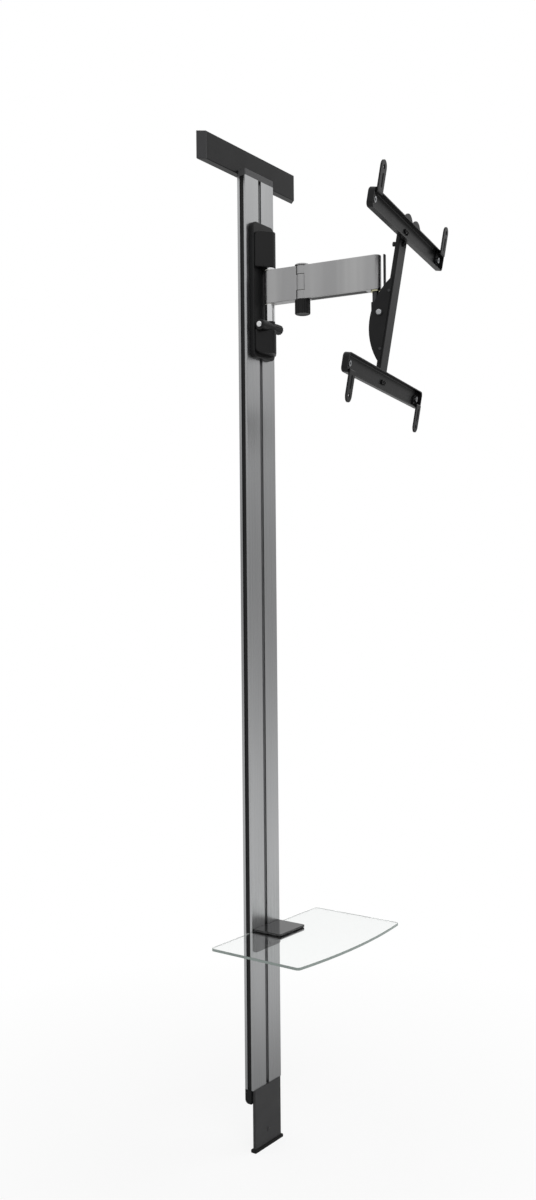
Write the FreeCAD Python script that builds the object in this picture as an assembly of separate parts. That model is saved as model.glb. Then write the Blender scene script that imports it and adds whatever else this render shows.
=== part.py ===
import FreeCAD, Part
import math
import os

# A television column that is fixed to the wall at its top and stands on the floor at its foot.
# A carriage on the column carries a two-link swivel arm with a tilting head.
# A glass shelf sits lower down.
# Lengths are millimetres and angles degrees. +Z is up, -Y points into the room, and the origin is the middle
# of the foot pad's underside. The arm is modelled swung to one side, with its head tilted forward.

# Gaps between pieces
cut_overrun = 5.0
slide_gap = 0.3
run_gap = 0.05
fit_gap = 0.2

# Column extrusion
total_height = 2004.5
column_width = 94.0
column_depth = 20.5
column_stand_off = 12.0
column_edge_radius = 2.0
column_wall = 2.5
slot_width = 9.0
slot_lip = 2.2
slot_chamber_width = 16.0
slot_chamber_depth = 4.6
groove_depth = 10.0
groove_height = 10.0
groove_from_back = 6.0
cover_recess = 1.5

# Column top cap
cap_thick = 4.5
cap_below_bar = 0.5
cap_lip_rise = 8.0
cap_spigot = 20.0
cap_edge_radius = 0.8

# Wall bar
wall_bar_length = 316.0
wall_bar_height = 54.5
wall_bar_depth = 14.5
wall_bar_wall = 2.0
end_cap_length = 14.0
end_cap_slant = 12.0
end_cap_plug = 8.0
wall_bar_edge_radius = 1.5
bracket_steel = 2.0
hook_channel_depth = 7.0
hook_lip_height = 13.0
wall_hole_spacing = 200.0
wall_hole_radius = 3.5
wall_hole_below_top = 16.0

# Hang plate
hang_plate_width = 60.0
hang_plate_drop = 105.0
hang_hook_leg = 7.0
hang_hook_play = 1.0
hang_screw_rise = 25.0
hang_screw_pitch = 50.0

# Fasteners that many pieces share
screw_radius = 3.0
screw_head_radius = 5.0
screw_head_tall = 4.0
small_screw_radius = 2.25
small_head_radius = 4.0
small_head_tall = 3.0
nut_flats = 10.0
nut_tall = 5.0
slot_nut_length = 14.0
slot_nut_thick = 4.0
hex_key_flats = 5.0
hex_key_depth = 2.5

# Foot
foot_height = 123.0
foot_width = 85.0
foot_thick = 7.0
foot_proud = 1.5
foot_edge_radius = 1.2
foot_pad_width = 93.0
foot_pad_tall = 5.5
foot_pad_base = 2.5
foot_pad_lip = 3.0
foot_pad_corner_radius = 2.0
foot_pad_edge_radius = 1.2
foot_flap_width = 40.0
foot_flap_tall = 36.0
foot_screw_height = 31.0
foot_bolt_head_tall = 1.6
foot_bolt_head_round = 1.0
plug_drop = 28.0
plug_corner_radius = 8.0
plug_spigot = 40.0
plug_screw_spacing = 45.0
plug_screw_rise = 18.0
plug_screw_reach = 9.0
plate_screw_spacing = 50.0
plate_screw_sink = 5.0
plate_screw_bite = 5.0

# Glass shelf
shelf_height = 434.0
glass_width = 354.0
glass_depth = 204.0
glass_thick = 5.0
glass_bow = 14.0
glass_corner_radius = 8.0
glass_edge_radius = 0.8
glass_back_gap = 1.0
glass_hole_radius = 5.5
shelf_plate_width = 86.0
shelf_plate_depth = 66.0
shelf_plate_corner_radius = 5.0
shelf_steel = 4.0
shelf_bend_radius = 2.0
shelf_inner_bend_radius = 1.5
shelf_leg_tall = 40.0
shelf_pad_thick = 1.0
shelf_pad_inset = 2.0
clamp_plate_thick = 3.5
clamp_plate_edge_radius = 1.0
clamp_plate_roof = 1.0
clamp_screw_spacing = 48.0
shelf_screw_rise = 11.0
shelf_screw_pitch = 16.0

# Carriage
carriage_width = 70.0
carriage_thick = 9.7
carriage_corner_radius = 12.0
carriage_edge_radius = 2.0
carriage_top_margin = 20.0
carriage_bottom_margin = 8.0
carriage_screw_inset = 20.0
carriage_screw_sink = 6.0
housing_width = 64.0
housing_step = 4.0
housing_corner_radius = 10.0
housing_edge_radius = 2.0
upper_housing_tall = 72.0
lower_housing_tall = 47.5
nose_radius = 12.0
shoulder_reach = 14.0
shoulder_pin_radius = 5.0
upper_pin_socket = 11.0
lower_pin_socket = 5.5
shoulder_bush_wall = 2.0
shoulder_bush_length = 15.0
spacer_radius = 10.0
upper_spacer_tall = 3.7
lower_spacer_tall = 34.2
washer_thick = 1.0
housing_screw_spacing = 38.0
housing_screw_sink = 4.5
housing_screw_bite = 8.0

# Height clamp on top of the lower housing
clamp_boss_radius = 10.5
clamp_boss_left = 34.0
clamp_boss_right = 6.0
clamp_boss_sink = 4.0
clamp_bolt_radius = 4.0
clamp_head_radius = 6.0
clamp_head_length = 5.0
clamp_head_round = 2.0
clamp_knob_radius = 10.0
clamp_knob_length = 26.0
clamp_knob_round = 2.0
clamp_knob_end_wall = 5.0
clamp_flute_radius = 1.5
clamp_flute_count = 12
clamp_relief = 1.2

# Arm
arm_swing = 12.0
arm_below_top = 280.0
arm_tall = 67.0
arm_thick = 22.0
arm_edge_radius = 1.2
inner_length = 71.0
outer_length = 153.0
arm_wall = 3.5
arm_pocket_deep = 52.0
arm_pocket_clear = 18.0
knuckle_tall = 17.0
knuckle_gap = 1.2
knuckle_clear = 0.6
elbow_barrel_radius = 13.5
elbow_pin_radius = 5.0
elbow_bush_wall = 1.5
elbow_cap_radius = 15.0
elbow_cap_tall = 3.0
elbow_cap_round = 1.5
elbow_knob_radius = 15.5
elbow_knob_tall = 28.0
elbow_knob_round = 2.5
elbow_knob_floor = 5.0
elbow_flute_radius = 1.2
elbow_flute_count = 20
cable_cover_thick = 3.0

# Head swivel
swivel_pin_radius = 6.0
swivel_post_radius = 6.5
swivel_bush_wall = 2.0
swivel_bush_length = 18.0
swivel_sink_radius = 9.5
swivel_sink_deep = 7.0
swivel_washer_radius = 9.5
swivel_washer_thick = 2.7
retainer_radius = 8.5
retainer_thick = 2.0
retainer_screw_bite = 14.0
bracket_boss_radius = 9.0
bracket_block_tall = 20.0
bracket_block_front = 9.0
tongue_width = 7.0
tongue_thick = 3.0
tongue_before_tilt = 2.0

# Head tilt
head_lean = 10.0
tilt_reach = 15.0
tilt_below_arm = 49.0
tilt_barrel_radius = 8.5
tilt_bolt_radius = 3.0
tilt_head_radius = 5.5
tilt_head_tall = 5.0
tilt_head_round = 2.0
tilt_washer_radius = 6.5
tilt_washer_thick = 1.5
tilt_nut_flats = 10.0
tilt_nut_tall = 5.5
friction_washer_radius = 8.0

# Head frame
spine_width = 40.0
spine_depth = 8.5
spine_wall = 2.5
spine_front = 18.0
spine_bend_radius = 2.2
spine_end_inset = 5.0
cheek_thick = 3.0
cheek_radius = 121.0
cheek_bulge = 18.0
cheek_drop = 13.0
cheek_lap = 6.0
rivet_radius = 1.75
rivet_head_radius = 2.8
rivet_head_tall = 1.5
rivet_spacing = 110.0
top_bar_rise = 158.0
bottom_bar_drop = 128.0
bar_length = 430.0
bar_tall = 36.0
bar_depth = 13.0
bar_wall = 2.0
bar_corner_radius = 9.0
bar_bend_radius = 3.0
bar_bolt_spacing = 12.0
bar_bolt_radius = 2.5
bar_bolt_head_radius = 4.5
bar_bolt_head_tall = 3.0
bar_nut_flats = 8.0
bar_nut_tall = 4.0
lug_radius = 30.0
lug_rise = 9.0
lug_spacing = 48.0
lock_screw_below_bar = 5.0
lock_screw_reach = 12.0
lock_nut_radius = 4.5
lock_nut_tall = 8.0

# Finger plates
finger_bolt_inset = 20.0
finger_bolt_radius = 3.0
finger_head_radius = 5.5
finger_head_tall = 4.0
finger_steel = 3.0
finger_base_width = 16.0
finger_width = 26.0
finger_riser_reach = 13.5
finger_bend_radius = 2.0
finger_inner_bend_radius = 0.6
finger_length = 68.0
finger_hole_radius = 4.25
finger_hole_from_tip = 12.0
finger_slot_radius = 3.25
finger_slot_start = 23.0
finger_slot_end = 42.0

# Places that follow from the sizes above, heights first and then distances in front of the wall
bar_bottom = total_height - wall_bar_height
column_top = bar_bottom - cap_below_bar - cap_thick
arm_mid_height = total_height - arm_below_top
arm_bottom = arm_mid_height - arm_tall / 2
arm_top = arm_mid_height + arm_tall / 2
upper_housing_bottom = arm_top + slide_gap + washer_thick + upper_spacer_tall
upper_housing_top = upper_housing_bottom + upper_housing_tall
shoulder_seat = arm_bottom - slide_gap - washer_thick - lower_spacer_tall
clamp_height = shoulder_seat - clamp_boss_radius
lower_housing_top = clamp_height - clamp_boss_radius + clamp_boss_sink
lower_housing_bottom = lower_housing_top - lower_housing_tall
carriage_top = upper_housing_top + carriage_top_margin
carriage_bottom = lower_housing_bottom - carriage_bottom_margin
column_front = column_stand_off + column_depth
carriage_back = column_front + slide_gap
carriage_front = carriage_back + carriage_thick
shoulder_front = carriage_front + shoulder_reach
foot_front = column_front + foot_proud
foot_back = foot_front - foot_thick
wall_y = (foot_front + foot_back) / 2
knob_top = arm_bottom - slide_gap

# Places along the arm, from the shoulder, and heights of the tilt axis and of the bars about it
arm_radius = arm_thick / 2
elbow_at = inner_length
swivel_at = inner_length + outer_length
tilt_at = swivel_at + tilt_reach
tilt_height = arm_bottom - tilt_below_arm
bracket_top = arm_bottom - slide_gap - swivel_washer_thick - bracket_block_tall
spine_back = spine_front - spine_depth
bar_floor = spine_front + bar_wall
bar_rim = spine_front + bar_depth
tilt_half_width = spine_width / 2

ACROSS = FreeCAD.Vector(1, 0, 0)
FORWARD = FreeCAD.Vector(0, -1, 0)
UP = FreeCAD.Vector(0, 0, 1)
parallel_share = 0.999

column_place = FreeCAD.Placement(FreeCAD.Vector(0, wall_y, 0), FreeCAD.Rotation())
arm_place = FreeCAD.Placement(FreeCAD.Vector(0, wall_y - shoulder_front, 0), FreeCAD.Rotation(UP, arm_swing))
head_turn = FreeCAD.Placement(FreeCAD.Vector(0, -tilt_at, tilt_height), FreeCAD.Rotation(ACROSS, head_lean))
head_place = arm_place.multiply(head_turn)
nodes = {}


def add(name, shape, place):
    """Keep a piece under its name, moved from the frame it was drawn in to the part's own frame."""
    moved = shape.copy()
    moved.Placement = place.multiply(moved.Placement)
    nodes[name] = moved


def group(pieces):
    """Separate like pieces that share one name."""
    return Part.makeCompound(pieces)


def box(x0, x1, front0, front1, z0, z1):
    """Block between two sides, two distances forward and two heights."""
    return Part.makeBox(x1 - x0, front1 - front0, z1 - z0, FreeCAD.Vector(x0, -front1, z0))


def upright(radius, front, z0, z1, x=0):
    """Vertical round bar."""
    return Part.makeCylinder(radius, z1 - z0, FreeCAD.Vector(x, -front, z0), UP)


def forward(radius, x, z, front0, front1):
    """Round bar that points into the room."""
    return Part.makeCylinder(radius, front1 - front0, FreeCAD.Vector(x, -front0, z), FORWARD)


def across(radius, front, z, x0, x1):
    """Round bar from side to side."""
    return Part.makeCylinder(radius, x1 - x0, FreeCAD.Vector(x0, -front, z), ACROSS)


def ring(outer_radius, inner_radius, front, z0, z1):
    """Vertical tube."""
    return upright(outer_radius, front, z0, z1).cut(upright(inner_radius, front, z0, z1))


def prism(points, z0, z1):
    """Vertical prism on an outline of (x, front) corners."""
    corners = [FreeCAD.Vector(x, -front, z0) for x, front in points]
    face = Part.Face(Part.makePolygon(corners + corners[:1]))
    return face.extrude(UP * (z1 - z0))


def hexagon(flats, x, z, front0, front1):
    """Hexagonal bar that points into the room, given across its flats."""
    corner = flats / math.sqrt(3)
    sides = 6
    turns = [2 * math.pi * side / sides for side in range(sides)]
    corners = [FreeCAD.Vector(x + corner * math.cos(turn), -front0, z + corner * math.sin(turn))
               for turn in turns]
    return Part.Face(Part.makePolygon(corners + corners[:1])).extrude(FORWARD * (front1 - front0))


def rounded(shape, radius, axis=None, keep=None):
    """Shape with its straight edges along an axis rounded, or every edge that keep() picks by its middle."""
    edges = shape.Edges
    if axis is not None:
        edges = [edge for edge in edges if isinstance(edge.Curve, Part.Line)]
        edges = [edge for edge in edges if abs(edge.Curve.Direction.dot(axis)) > parallel_share]
    if keep is not None:
        edges = [edge for edge in edges if keep(edge.CenterOfMass)]
    return shape.makeFillet(radius, edges)


def screw_forward(x, z, head_front, shank_back, radius, head_radius, head_tall):
    """Round-headed screw whose head faces into the room, with a hexagonal key recess."""
    head = forward(head_radius, x, z, head_front - head_tall, head_front)
    shank = forward(radius, x, z, shank_back, head_front - head_tall)
    key = hexagon(hex_key_flats, x, z, head_front - hex_key_depth, head_front)
    return head.fuse(shank).removeSplitter().cut(key)


def screw_backward(x, z, head_back, shank_front, radius, head_radius, head_tall):
    """Round-headed screw whose head faces the wall."""
    head = forward(head_radius, x, z, head_back, head_back + head_tall)
    shank = forward(radius, x, z, head_back + head_tall, shank_front)
    return head.fuse(shank).removeSplitter()


def slot_nut(z, front0):
    """Flat nut that lies in a chamber of the column and takes a screw."""
    half_width = slot_chamber_width / 2 - slide_gap
    half_length = slot_nut_length / 2
    block = box(-half_width, half_width, front0, front0 + slot_nut_thick, z - half_length, z + half_length)
    return block.cut(forward(screw_radius + run_gap, 0, z, front0, front0 + slot_nut_thick))


def hex_nut(flats, radius, x, z, front0, front1):
    """Hexagonal nut round a shank that points into the room."""
    return hexagon(flats, x, z, front0, front1).cut(forward(radius + run_gap, x, z, front0, front1))


# Column: the extrusion has a nut slot in front and behind, a groove down each side and two hollows
def column_extrusion():
    half = column_width / 2
    hole_front = column_stand_off + column_wall
    low = column_bottom_cut
    high = column_top + cut_overrun
    middle = column_stand_off + column_depth / 2
    body = box(-half, half, column_stand_off, column_front, foot_height, column_top)
    body = rounded(body, column_edge_radius, UP, lambda point: -point.y > middle)
    half_slot = slot_width / 2
    half_chamber = slot_chamber_width / 2
    lip_back = column_stand_off + slot_lip
    lip_front = column_front - slot_lip
    cuts = [
        box(-half_slot, half_slot, column_stand_off - cut_overrun, lip_back, low, high),
        box(-half_chamber, half_chamber, lip_back, lip_back + slot_chamber_depth, low, high),
        box(-half_slot, half_slot, lip_front, column_front + cut_overrun, low, high),
        box(-half_chamber, half_chamber, lip_front - slot_chamber_depth, lip_front, low, high),
    ]
    for side in (-1, 1):
        cuts.append(side_box(side, groove_floor, half + cut_overrun, groove_back, groove_front, low, high))
        cuts.append(side_box(side, hollow_inner, hollow_outer, hollow_back, hollow_front, low, high))
        x = side * plug_screw_spacing / 2
        cuts.append(forward(small_screw_radius + run_gap, x, plug_screw_height, column_stand_off, hole_front))
    return body.cut(cuts)


def side_box(side, x_near, x_far, front0, front1, z0, z1):
    """Block on one side of the middle, between two distances from it."""
    return box(min(side * x_near, side * x_far), max(side * x_near, side * x_far), front0, front1, z0, z1)


column_bottom_cut = foot_height - cut_overrun
groove_floor = column_width / 2 - groove_depth
groove_back = column_stand_off + groove_from_back
groove_front = groove_back + groove_height
hollow_inner = slot_chamber_width / 2 + column_wall
hollow_outer = groove_floor - column_wall
hollow_back = column_stand_off + column_wall
hollow_front = column_front - column_wall
plug_screw_height = foot_height + plug_screw_rise


def hollow_plugs(z0, z1):
    """Two tongues that fill the column's hollows."""
    back = hollow_back + fit_gap
    front = hollow_front - fit_gap
    inner = hollow_inner + fit_gap
    outer = hollow_outer - fit_gap
    return [side_box(side, inner, outer, back, front, z0, z1) for side in (-1, 1)]


def side_cable_cover(side):
    """Black strip that closes the cable groove, a little below the column's side."""
    outer = column_width / 2 - cover_recess
    return side_box(side, groove_floor, outer, groove_back + fit_gap, groove_front - fit_gap,
                    foot_height, column_top)


def column_top_cap():
    """Plug on the column's top end, with a front lip that stands up before the wall bar."""
    half = column_width / 2
    lip_back = wall_bar_depth + slide_gap
    lip_top = column_top + cap_thick + cap_below_bar + cap_lip_rise
    middle = column_stand_off + column_depth / 2
    slab = box(-half, half, column_stand_off, column_front, column_top, column_top + cap_thick)
    lip = box(-half, half, lip_back, column_front, column_top, lip_top)
    body = slab.fuse(lip).removeSplitter()
    body = rounded(body, column_edge_radius, UP, lambda point: -point.y > middle)
    body = rounded(body, cap_edge_radius, None, lambda point: point.z > lip_top - cap_edge_radius)
    return body.fuse(hollow_plugs(column_top - cap_spigot, column_top)).removeSplitter()


add("column_extrusion", column_extrusion(), column_place)
add("side_cable_cover_left", side_cable_cover(-1), column_place)
add("side_cable_cover_right", side_cable_cover(1), column_place)
add("column_top_cap", column_top_cap(), column_place)


# Wall bar: a hooked steel bracket on the wall under a black cover with two end caps
cover_half = wall_bar_length / 2 - end_cap_length
bracket_half = cover_half - end_cap_plug - fit_gap
bracket_bottom = bar_bottom + wall_bar_wall
bracket_top_edge = total_height - wall_bar_wall
lip_front_face = bracket_steel + hook_channel_depth
lip_back_face = lip_front_face - bracket_steel
lip_top_edge = bracket_bottom + hook_lip_height
wall_hole_height = bracket_top_edge - wall_hole_below_top
hang_front = column_stand_off
hang_back = hang_front - bracket_steel


def wall_bracket():
    back = box(-bracket_half, bracket_half, 0, bracket_steel, bracket_bottom, bracket_top_edge)
    floor = box(-bracket_half, bracket_half, 0, lip_front_face,
                bracket_bottom, bracket_bottom + bracket_steel)
    lip = box(-bracket_half, bracket_half, lip_back_face, lip_front_face, bracket_bottom, lip_top_edge)
    holes = [
        forward(wall_hole_radius, side * wall_hole_spacing / 2, wall_hole_height, 0, bracket_steel)
        for side in (-1, 1)
    ]
    return back.fuse([floor, lip]).removeSplitter().cut(holes)


def wall_bar_cover():
    """Cover open at the back, with a notch in its floor where the hang plate comes out."""
    front = wall_bar_depth
    shell = box(-cover_half, cover_half, 0, front, bar_bottom, total_height)
    shell = rounded(shell, wall_bar_edge_radius, ACROSS, lambda point: -point.y > front / 2)
    inside_front = front - wall_bar_wall
    inside = box(-cover_half, cover_half, 0, inside_front, bracket_bottom, bracket_top_edge)
    notch_half = hang_plate_width / 2 + slide_gap
    notch = box(-notch_half, notch_half, hang_back - slide_gap, inside_front, bar_bottom, bracket_bottom)
    return shell.cut([inside, notch])


def wall_bar_end_cap(side):
    """Moulded cap with a slanted end and a plug that enters the cover."""
    outer = wall_bar_length / 2
    outline = [(cover_half, 0), (outer, 0), (outer - end_cap_slant, wall_bar_depth),
               (cover_half, wall_bar_depth)]
    face = prism([(side * x, front) for x, front in outline], bar_bottom, total_height)
    shows = lambda point: abs(point.x) > cover_half + fit_gap and -point.y > wall_bar_edge_radius
    face = rounded(face, wall_bar_edge_radius, None, shows)
    plug_front = wall_bar_depth - wall_bar_wall - fit_gap
    low = bracket_bottom + fit_gap
    high = bracket_top_edge - fit_gap
    plug = side_box(side, cover_half - end_cap_plug, cover_half, fit_gap, plug_front, low, high)
    return face.fuse(plug).removeSplitter()


def hang_plate():
    """Bent steel strip on the column's back that hooks over the bracket's lip."""
    half = hang_plate_width / 2
    low = bar_bottom - hang_plate_drop
    high = lip_top_edge + bracket_steel
    leg_front = lip_back_face - hang_hook_play
    leg_back = leg_front - bracket_steel
    strip = box(-half, half, hang_back, hang_front, low, high)
    shelf = box(-half, half, leg_back, hang_front, lip_top_edge, high)
    leg = box(-half, half, leg_back, leg_front, lip_top_edge - hang_hook_leg, high)
    holes = [forward(screw_radius + fit_gap, 0, z, hang_back, hang_front) for z in hang_screw_heights]
    return strip.fuse([shelf, leg]).removeSplitter().cut(holes)


hang_screw_heights = [
    bar_bottom - hang_plate_drop + hang_screw_rise,
    bar_bottom - hang_plate_drop + hang_screw_rise + hang_screw_pitch,
]
hang_head_back = hang_back - screw_head_tall
hang_nut_back = column_stand_off + slot_lip
hang_screws = [
    screw_backward(0, z, hang_head_back, hang_nut_back + slot_nut_thick, screw_radius, screw_head_radius,
                   screw_head_tall)
    for z in hang_screw_heights
]
hang_nuts = [slot_nut(z, hang_nut_back) for z in hang_screw_heights]

add("wall_bracket", wall_bracket(), column_place)
add("wall_bar_cover", wall_bar_cover(), column_place)
add("wall_bar_end_cap_left", wall_bar_end_cap(-1), column_place)
add("wall_bar_end_cap_right", wall_bar_end_cap(1), column_place)
add("hang_plate", hang_plate(), column_place)
add("hang_screws_and_nuts", group(hang_screws + hang_nuts), column_place)


# Foot: a plug in the column's lower end carries the foot plate, which stands in a rubber pad
plug_bottom = foot_height - plug_drop
plate_screw_height = (foot_height + plug_bottom) / 2
plate_screw_head_back = column_stand_off + plate_screw_sink - small_head_tall
pad_back = foot_back - foot_pad_lip
pad_front = foot_front + foot_pad_lip
flap_top = foot_pad_tall + foot_flap_tall


def foot_plug():
    half = column_width / 2
    block = box(-half, half, column_stand_off, foot_back, plug_bottom, foot_height)
    block = rounded(block, plug_corner_radius, ACROSS, lambda point: -point.y < foot_back - plug_corner_radius
                    and point.z < plate_screw_height)
    body = block.fuse(hollow_plugs(foot_height, foot_height + plug_spigot)).removeSplitter()
    sink_front = column_stand_off + plate_screw_sink
    holes = []
    for side in (-1, 1):
        x = side * plate_screw_spacing / 2
        holes.append(forward(small_head_radius + fit_gap, x, plate_screw_height,
                             column_stand_off, sink_front))
        holes.append(forward(small_screw_radius + run_gap, x, plate_screw_height,
                             column_stand_off, foot_back))
        holes.append(forward(small_screw_radius, side * plug_screw_spacing / 2, plug_screw_height,
                             column_stand_off, plug_screw_end))
    return body.cut(holes)


plug_screw_end = column_stand_off + plug_screw_reach


def foot_plate():
    half = foot_width / 2
    body = box(-half, half, foot_back, foot_front, foot_pad_base, foot_height)
    body = rounded(body, foot_edge_radius, UP)
    holes = [
        forward(small_screw_radius + run_gap, side * plate_screw_spacing / 2, plate_screw_height,
                foot_back, foot_back + plate_screw_bite)
        for side in (-1, 1)
    ]
    holes.append(forward(small_screw_radius + run_gap, 0, foot_screw_height, foot_back, foot_front))
    return body.cut(holes)


def foot_pad():
    """Rubber shoe round the plate's lower edge, with a flap behind the plate for its screw."""
    half = foot_pad_width / 2
    flap_half = foot_flap_width / 2
    seat_half = foot_width / 2
    body = rounded(box(-half, half, pad_back, pad_front, 0, foot_pad_tall), foot_pad_corner_radius, UP)
    flat = foot_pad_tall - foot_pad_edge_radius
    body = rounded(body, foot_pad_edge_radius, None, lambda point: point.z > flat)
    body = body.fuse(box(-flap_half, flap_half, pad_back, foot_back, 0, flap_top)).removeSplitter()
    seat = box(-seat_half, seat_half, foot_back, foot_front, foot_pad_base, foot_pad_tall)
    hole = forward(small_screw_radius + run_gap, 0, foot_screw_height, pad_back, foot_back)
    return body.cut([seat, hole])


foot_pad_nut = hex_nut(nut_flats, small_screw_radius, 0, foot_screw_height, pad_back - nut_tall, pad_back)
foot_bolt_front = foot_front + foot_bolt_head_tall
foot_bolt_head = rounded(forward(small_head_radius, 0, foot_screw_height, foot_front, foot_bolt_front),
                         foot_bolt_head_round, None,
                         lambda point: -point.y > foot_bolt_front - foot_bolt_head_round)
foot_bolt_shank = forward(small_screw_radius, 0, foot_screw_height, pad_back - nut_tall, foot_front)
foot_pad_screw = foot_bolt_head.fuse(foot_bolt_shank).removeSplitter()
plate_screws = [
    screw_backward(side * plate_screw_spacing / 2, plate_screw_height, plate_screw_head_back,
                   foot_back + plate_screw_bite, small_screw_radius, small_head_radius, small_head_tall)
    for side in (-1, 1)
]
plug_screws = [
    screw_backward(side * plug_screw_spacing / 2, plug_screw_height, column_stand_off - small_head_tall,
                   plug_screw_end, small_screw_radius, small_head_radius, small_head_tall)
    for side in (-1, 1)
]

add("foot_plug", foot_plug(), column_place)
add("foot_plate", foot_plate(), column_place)
add("foot_pad", foot_pad(), column_place)
add("foot_pad_screw_and_nut", group([foot_pad_screw, foot_pad_nut]), column_place)
add("foot_screws", group(plate_screws + plug_screws), column_place)


# Shelf: the glass is clamped between an angle bracket and a plate, with thin pads between
shelf_back = column_front + slide_gap
shelf_plate_front = shelf_back + shelf_plate_depth
shelf_middle = (shelf_back + shelf_plate_front) / 2
bracket_face = shelf_height - shelf_pad_thick
glass_top = shelf_height + glass_thick
clamp_plate_bottom = glass_top + shelf_pad_thick
clamp_plate_top = clamp_plate_bottom + clamp_plate_thick
leg_front = shelf_back + shelf_steel
leg_bottom = bracket_face - shelf_leg_tall
clamp_screw_places = [side * clamp_screw_spacing / 2 for side in (-1, 1)]
shelf_screw_heights = [leg_bottom + shelf_screw_rise, leg_bottom + shelf_screw_rise + shelf_screw_pitch]
slide_nut_back = column_front - slot_lip - slide_gap - slot_nut_thick


def shelf_bracket():
    half = shelf_plate_width / 2
    ledge = box(-half, half, shelf_back, shelf_plate_front, bracket_face - shelf_steel, bracket_face)
    ledge = rounded(ledge, shelf_plate_corner_radius, UP, lambda point: -point.y > shelf_middle)
    leg = box(-half, half, shelf_back, leg_front, leg_bottom, bracket_face)
    leg = rounded(leg, shelf_plate_corner_radius, FORWARD, lambda point: point.z < bracket_face - shelf_steel)
    holes = [upright(screw_radius + run_gap, shelf_middle, leg_bottom, bracket_face, x)
             for x in clamp_screw_places]
    holes += [forward(screw_radius + run_gap, 0, z, shelf_back, leg_front) for z in shelf_screw_heights]
    body = ledge.fuse(leg).removeSplitter()
    heel = bracket_face - shelf_bend_radius
    body = rounded(body, shelf_bend_radius, ACROSS, lambda point: point.z > heel and -point.y < leg_front)
    inner_bend = lambda point: leg_bottom < point.z < heel and -point.y < leg_front + shelf_inner_bend_radius
    body = rounded(body, shelf_inner_bend_radius, ACROSS, inner_bend)
    return body.cut(holes)


def shelf_pad(z0):
    half = shelf_plate_width / 2 - shelf_pad_inset
    pad = box(-half, half, shelf_back + shelf_pad_inset, shelf_plate_front - shelf_pad_inset,
              z0, z0 + shelf_pad_thick)
    holes = [upright(screw_radius + run_gap, shelf_middle, z0, z0 + shelf_pad_thick, x)
             for x in clamp_screw_places]
    return pad.cut(holes)


def shelf_glass():
    """Flat pane with straight back and sides and a bowed front."""
    half = glass_width / 2
    back = column_front + glass_back_gap
    side_front = back + glass_depth
    corners = [FreeCAD.Vector(x, -front, shelf_height) for x, front in
               ((-half, back), (half, back), (half, side_front), (-half, side_front))]
    bow = FreeCAD.Vector(0, -(side_front + glass_bow), shelf_height)
    edges = [
        Part.LineSegment(corners[0], corners[1]).toShape(),
        Part.LineSegment(corners[1], corners[2]).toShape(),
        Part.Arc(corners[2], bow, corners[3]).toShape(),
        Part.LineSegment(corners[3], corners[0]).toShape(),
    ]
    pane = Part.Face(Part.Wire(edges)).extrude(UP * glass_thick)
    pane = rounded(pane, glass_corner_radius, UP)
    middle = shelf_height + glass_thick / 2
    flat = glass_thick / 2 - glass_edge_radius
    pane = rounded(pane, glass_edge_radius, None, lambda point: abs(point.z - middle) > flat)
    holes = [upright(glass_hole_radius, shelf_middle, shelf_height, glass_top, x) for x in clamp_screw_places]
    return pane.cut(holes)


def shelf_clamp_plate():
    half = shelf_plate_width / 2
    plate = box(-half, half, shelf_back, shelf_plate_front, clamp_plate_bottom, clamp_plate_top)
    plate = rounded(plate, shelf_plate_corner_radius, UP, lambda point: -point.y > shelf_middle)
    top_edges = clamp_plate_top - clamp_plate_edge_radius
    plate = rounded(plate, clamp_plate_edge_radius, None, lambda point: point.z > top_edges)
    roof = clamp_plate_top - clamp_plate_roof
    holes = [upright(screw_radius + run_gap, shelf_middle, clamp_plate_bottom, roof, x)
             for x in clamp_screw_places]
    return plate.cut(holes)


def shelf_clamp_screw(x):
    """Screw that comes up through bracket and glass into the clamp plate."""
    under = bracket_face - shelf_steel
    head = upright(screw_head_radius, shelf_middle, under - screw_head_tall, under, x)
    shank = upright(screw_radius, shelf_middle, under, clamp_plate_top - clamp_plate_roof, x)
    return head.fuse(shank).removeSplitter()


def glass_bush(x):
    """Nylon sleeve that keeps the screw off the glass."""
    outer = upright(glass_hole_radius - run_gap, shelf_middle, shelf_height, glass_top, x)
    return outer.cut(upright(screw_radius + run_gap, shelf_middle, shelf_height, glass_top, x))


shelf_screws = [
    screw_forward(0, z, leg_front + screw_head_tall, slide_nut_back, screw_radius, screw_head_radius,
                  screw_head_tall)
    for z in shelf_screw_heights
]
shelf_nuts = [slot_nut(z, slide_nut_back) for z in shelf_screw_heights]

add("shelf_bracket", shelf_bracket(), column_place)
add("shelf_pads", group([shelf_pad(bracket_face), shelf_pad(glass_top)]), column_place)
add("shelf_glass", shelf_glass(), column_place)
add("shelf_clamp_plate", shelf_clamp_plate(), column_place)
add("glass_bushes", group([glass_bush(x) for x in clamp_screw_places]), column_place)
add("shelf_clamp_screws", group([shelf_clamp_screw(x) for x in clamp_screw_places]), column_place)
add("shelf_screws_and_nuts", group(shelf_screws + shelf_nuts), column_place)


# Carriage: a plate on the column with a bearing housing above and below the arm
carriage_screw_heights = [carriage_bottom + carriage_screw_inset, carriage_top - carriage_screw_inset]
housing_screw_heights = [
    (lower_housing_bottom + clamp_height) / 2,
    (upper_housing_bottom + upper_housing_top) / 2,
]
housing_screw_places = [(side * housing_screw_spacing / 2, z)
                        for side in (-1, 1) for z in housing_screw_heights]
housing_screw_end = carriage_front + housing_step
carriage_sink_back = carriage_front - carriage_screw_sink
housing_sink_front = carriage_back + housing_screw_sink


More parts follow.
